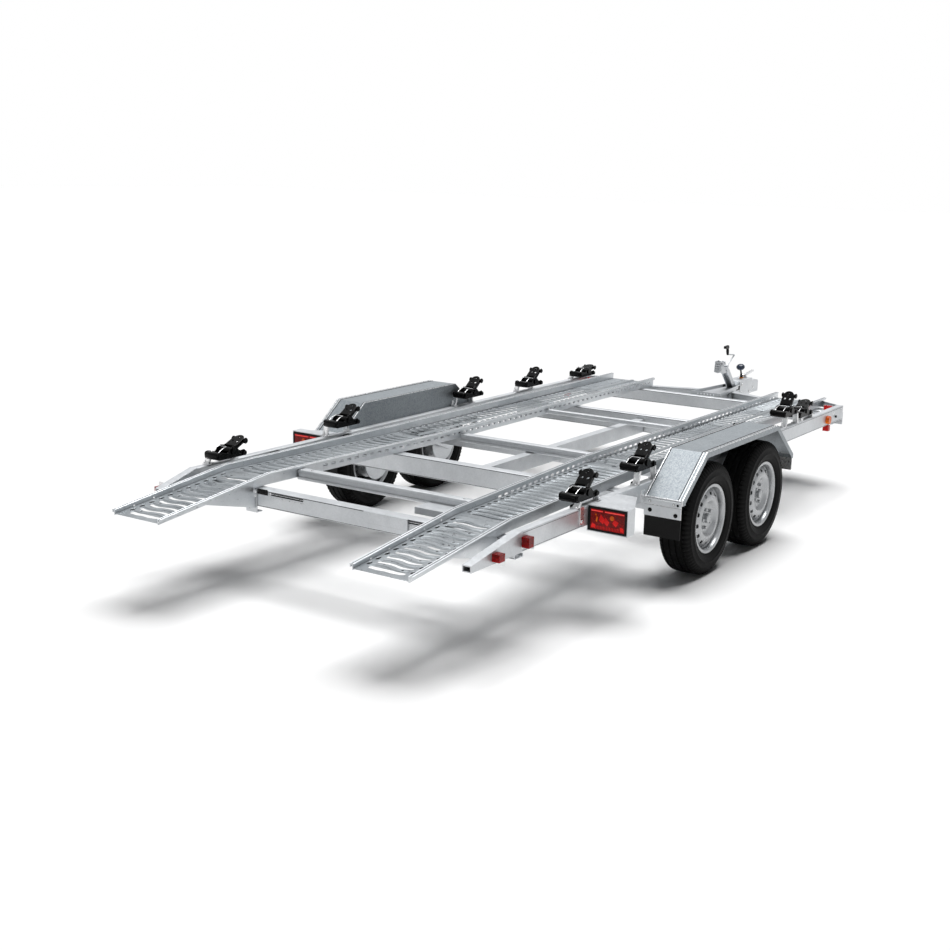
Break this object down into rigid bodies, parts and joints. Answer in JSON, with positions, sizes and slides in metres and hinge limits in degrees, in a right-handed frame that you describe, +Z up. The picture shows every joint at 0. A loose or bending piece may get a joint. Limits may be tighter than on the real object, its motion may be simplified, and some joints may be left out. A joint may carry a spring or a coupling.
{
  "type": "tandem axle car trailer",
  "caption": "Open tandem axle car trailer with two perforated wheel tracks, sloping rear ramps, fenders, winch post and overrun coupling.",
  "frame": {"origin": "on the ground, at the middle of the trailer's length and width", "axes": "+X to the trailer's right, +Y forward to the coupling, +Z up"},
  "size_m": [2.39, 5.49, 0.8223],
  "materials": {
    "zinc": "hot-dip galvanised, spangled",
    "track_zinc": "galvanised sheet, worn bright",
    "bright_zinc": "bright zinc plated",
    "rim": "silver paint",
    "tyre": "black tread rubber",
    "rubber": "matt black rubber",
    "black_steel": "glossy black enamel",
    "black_plastic": "glossy moulded plastic",
    "red_lens": "clear red moulded lens",
    "amber_lens": "clear amber moulded lens"
  },
  "bodies": {
    "chassis": {"outer_rail_left": "zinc", "outer_rail_right": "zinc", "rear_cross_beam": "zinc", "ramp_cross_member": "zinc", "rear_cross_member": "zinc", "front_axle_bar": "zinc", "middle_bar": "zinc", "deep_cross_member": "zinc", "front_cross_beam": "zinc", "centre_beam": "zinc", "front_arms": "zinc", "front_corners": "zinc", "drawbar": "zinc", "head_plate": "zinc", "rear_hangers": "zinc", "rear_plates": "bright_zinc", "track_rails_left": "track_zinc", "track_rails_right": "track_zinc", "ramp_floor_left": "track_zinc", "ramp_floor_right": "track_zinc", "deck_floor_left": "track_zinc", "deck_floor_right": "track_zinc", "fender_left": "zinc", "fender_right": "zinc", "fender_brackets": "bright_zinc", "mud_flaps": "rubber", "axle_tubes": "zinc", "swing_arms": "zinc", "overrun_housing": "zinc", "ball_coupling": "zinc", "brake_knob": "black_plastic", "winch_post": "zinc", "winch_body": "zinc", "lamp_boxes": "zinc", "lamp_brackets": "zinc", "lamp_lenses": "red_lens", "red_markers": "red_lens", "amber_markers": "amber_lens", "ratchet_posts": "bright_zinc", "ratchet_frames": "black_steel"},
    "wheel_rear_left": {"tyre_rear_left": "tyre", "rim_rear_left": "rim"},
    "wheel_rear_right": {"tyre_rear_right": "tyre", "rim_rear_right": "rim"},
    "wheel_front_left": {"tyre_front_left": "tyre", "rim_front_left": "rim"},
    "wheel_front_right": {"tyre_front_right": "tyre", "rim_front_right": "rim"},
    "winch_crank": {"winch_crank": "bright_zinc"},
    "coupling_lever": {"coupling_lever": "bright_zinc"},
    "ratchet_left_1": {"ratchet_handle_left_1": "black_steel"},
    "ratchet_left_2": {"ratchet_handle_left_2": "black_steel"},
    "ratchet_left_3": {"ratchet_handle_left_3": "black_steel"},
    "ratchet_left_4": {"ratchet_handle_left_4": "black_steel"},
    "ratchet_left_5": {"ratchet_handle_left_5": "black_steel"},
    "ratchet_right_1": {"ratchet_handle_right_1": "black_steel"},
    "ratchet_right_2": {"ratchet_handle_right_2": "black_steel"},
    "ratchet_right_3": {"ratchet_handle_right_3": "black_steel"},
    "ratchet_right_4": {"ratchet_handle_right_4": "black_steel"},
    "ratchet_right_5": {"ratchet_handle_right_5": "black_steel"}
  },
  "joints": [
    {"name": "wheel_rear_left_spin", "type": "hinge", "parent": "chassis", "child": "wheel_rear_left", "pos_m": [-1.1, -0.595, 0.295], "axis": [1, 0, 0], "continuous": true},
    {"name": "wheel_rear_right_spin", "type": "hinge", "parent": "chassis", "child": "wheel_rear_right", "pos_m": [1.1, -0.595, 0.295], "axis": [1, 0, 0], "continuous": true},
    {"name": "wheel_front_left_spin", "type": "hinge", "parent": "chassis", "child": "wheel_front_left", "pos_m": [-1.1, 0.085, 0.295], "axis": [1, 0, 0], "continuous": true},
    {"name": "wheel_front_right_spin", "type": "hinge", "parent": "chassis", "child": "wheel_front_right", "pos_m": [1.1, 0.085, 0.295], "axis": [1, 0, 0], "continuous": true},
    {"name": "winch_turn", "type": "hinge", "parent": "chassis", "child": "winch_crank", "pos_m": [0.05, 2.095, 0.67], "axis": [1, 0, 0], "continuous": true},
    {"name": "coupling_lift", "type": "hinge", "parent": "chassis", "child": "coupling_lever", "pos_m": [0, 2.53, 0.548], "axis": [1, 0, 0], "range_deg": [0, 55]},
    {"name": "ratchet_left_1_lift", "type": "hinge", "parent": "chassis", "child": "ratchet_left_1", "pos_m": [-0.925, -1.925, 0.585], "axis": [1, 0, 0], "range_deg": [-18, 81]},
    {"name": "ratchet_left_2_lift", "type": "hinge", "parent": "chassis", "child": "ratchet_left_2", "pos_m": [-0.925, -0.995, 0.612], "axis": [1, 0, 0], "range_deg": [-26, 73]},
    {"name": "ratchet_left_3_lift", "type": "hinge", "parent": "chassis", "child": "ratchet_left_3", "pos_m": [-0.925, 0.275, 0.612], "axis": [1, 0, 0], "range_deg": [-32, 67]},
    {"name": "ratchet_left_4_lift", "type": "hinge", "parent": "chassis", "child": "ratchet_left_4", "pos_m": [-0.925, 1.015, 0.592], "axis": [1, 0, 0], "range_deg": [-32, 67]},
    {"name": "ratchet_left_5_lift", "type": "hinge", "parent": "chassis", "child": "ratchet_left_5", "pos_m": [-0.925, 1.755, 0.575], "axis": [1, 0, 0], "range_deg": [-4, 95]},
    {"name": "ratchet_right_1_lift", "type": "hinge", "parent": "chassis", "child": "ratchet_right_1", "pos_m": [0.925, -1.525, 0.579], "axis": [1, 0, 0], "range_deg": [-36, 63]},
    {"name": "ratchet_right_2_lift", "type": "hinge", "parent": "chassis", "child": "ratchet_right_2", "pos_m": [0.925, -0.94, 0.619], "axis": [1, 0, 0], "range_deg": [-32, 67]},
    {"name": "ratchet_right_3_lift", "type": "hinge", "parent": "chassis", "child": "ratchet_right_3", "pos_m": [0.925, 0.225, 0.587], "axis": [1, 0, 0], "range_deg": [-6, 93]},
    {"name": "ratchet_right_4_lift", "type": "hinge", "parent": "chassis", "child": "ratchet_right_4", "pos_m": [0.925, 0.985, 0.615], "axis": [1, 0, 0], "range_deg": [-44, 55]},
    {"name": "ratchet_right_5_lift", "type": "hinge", "parent": "chassis", "child": "ratchet_right_5", "pos_m": [0.925, 1.245, 0.575], "axis": [1, 0, 0], "range_deg": [-14, 85]}
  ]
}
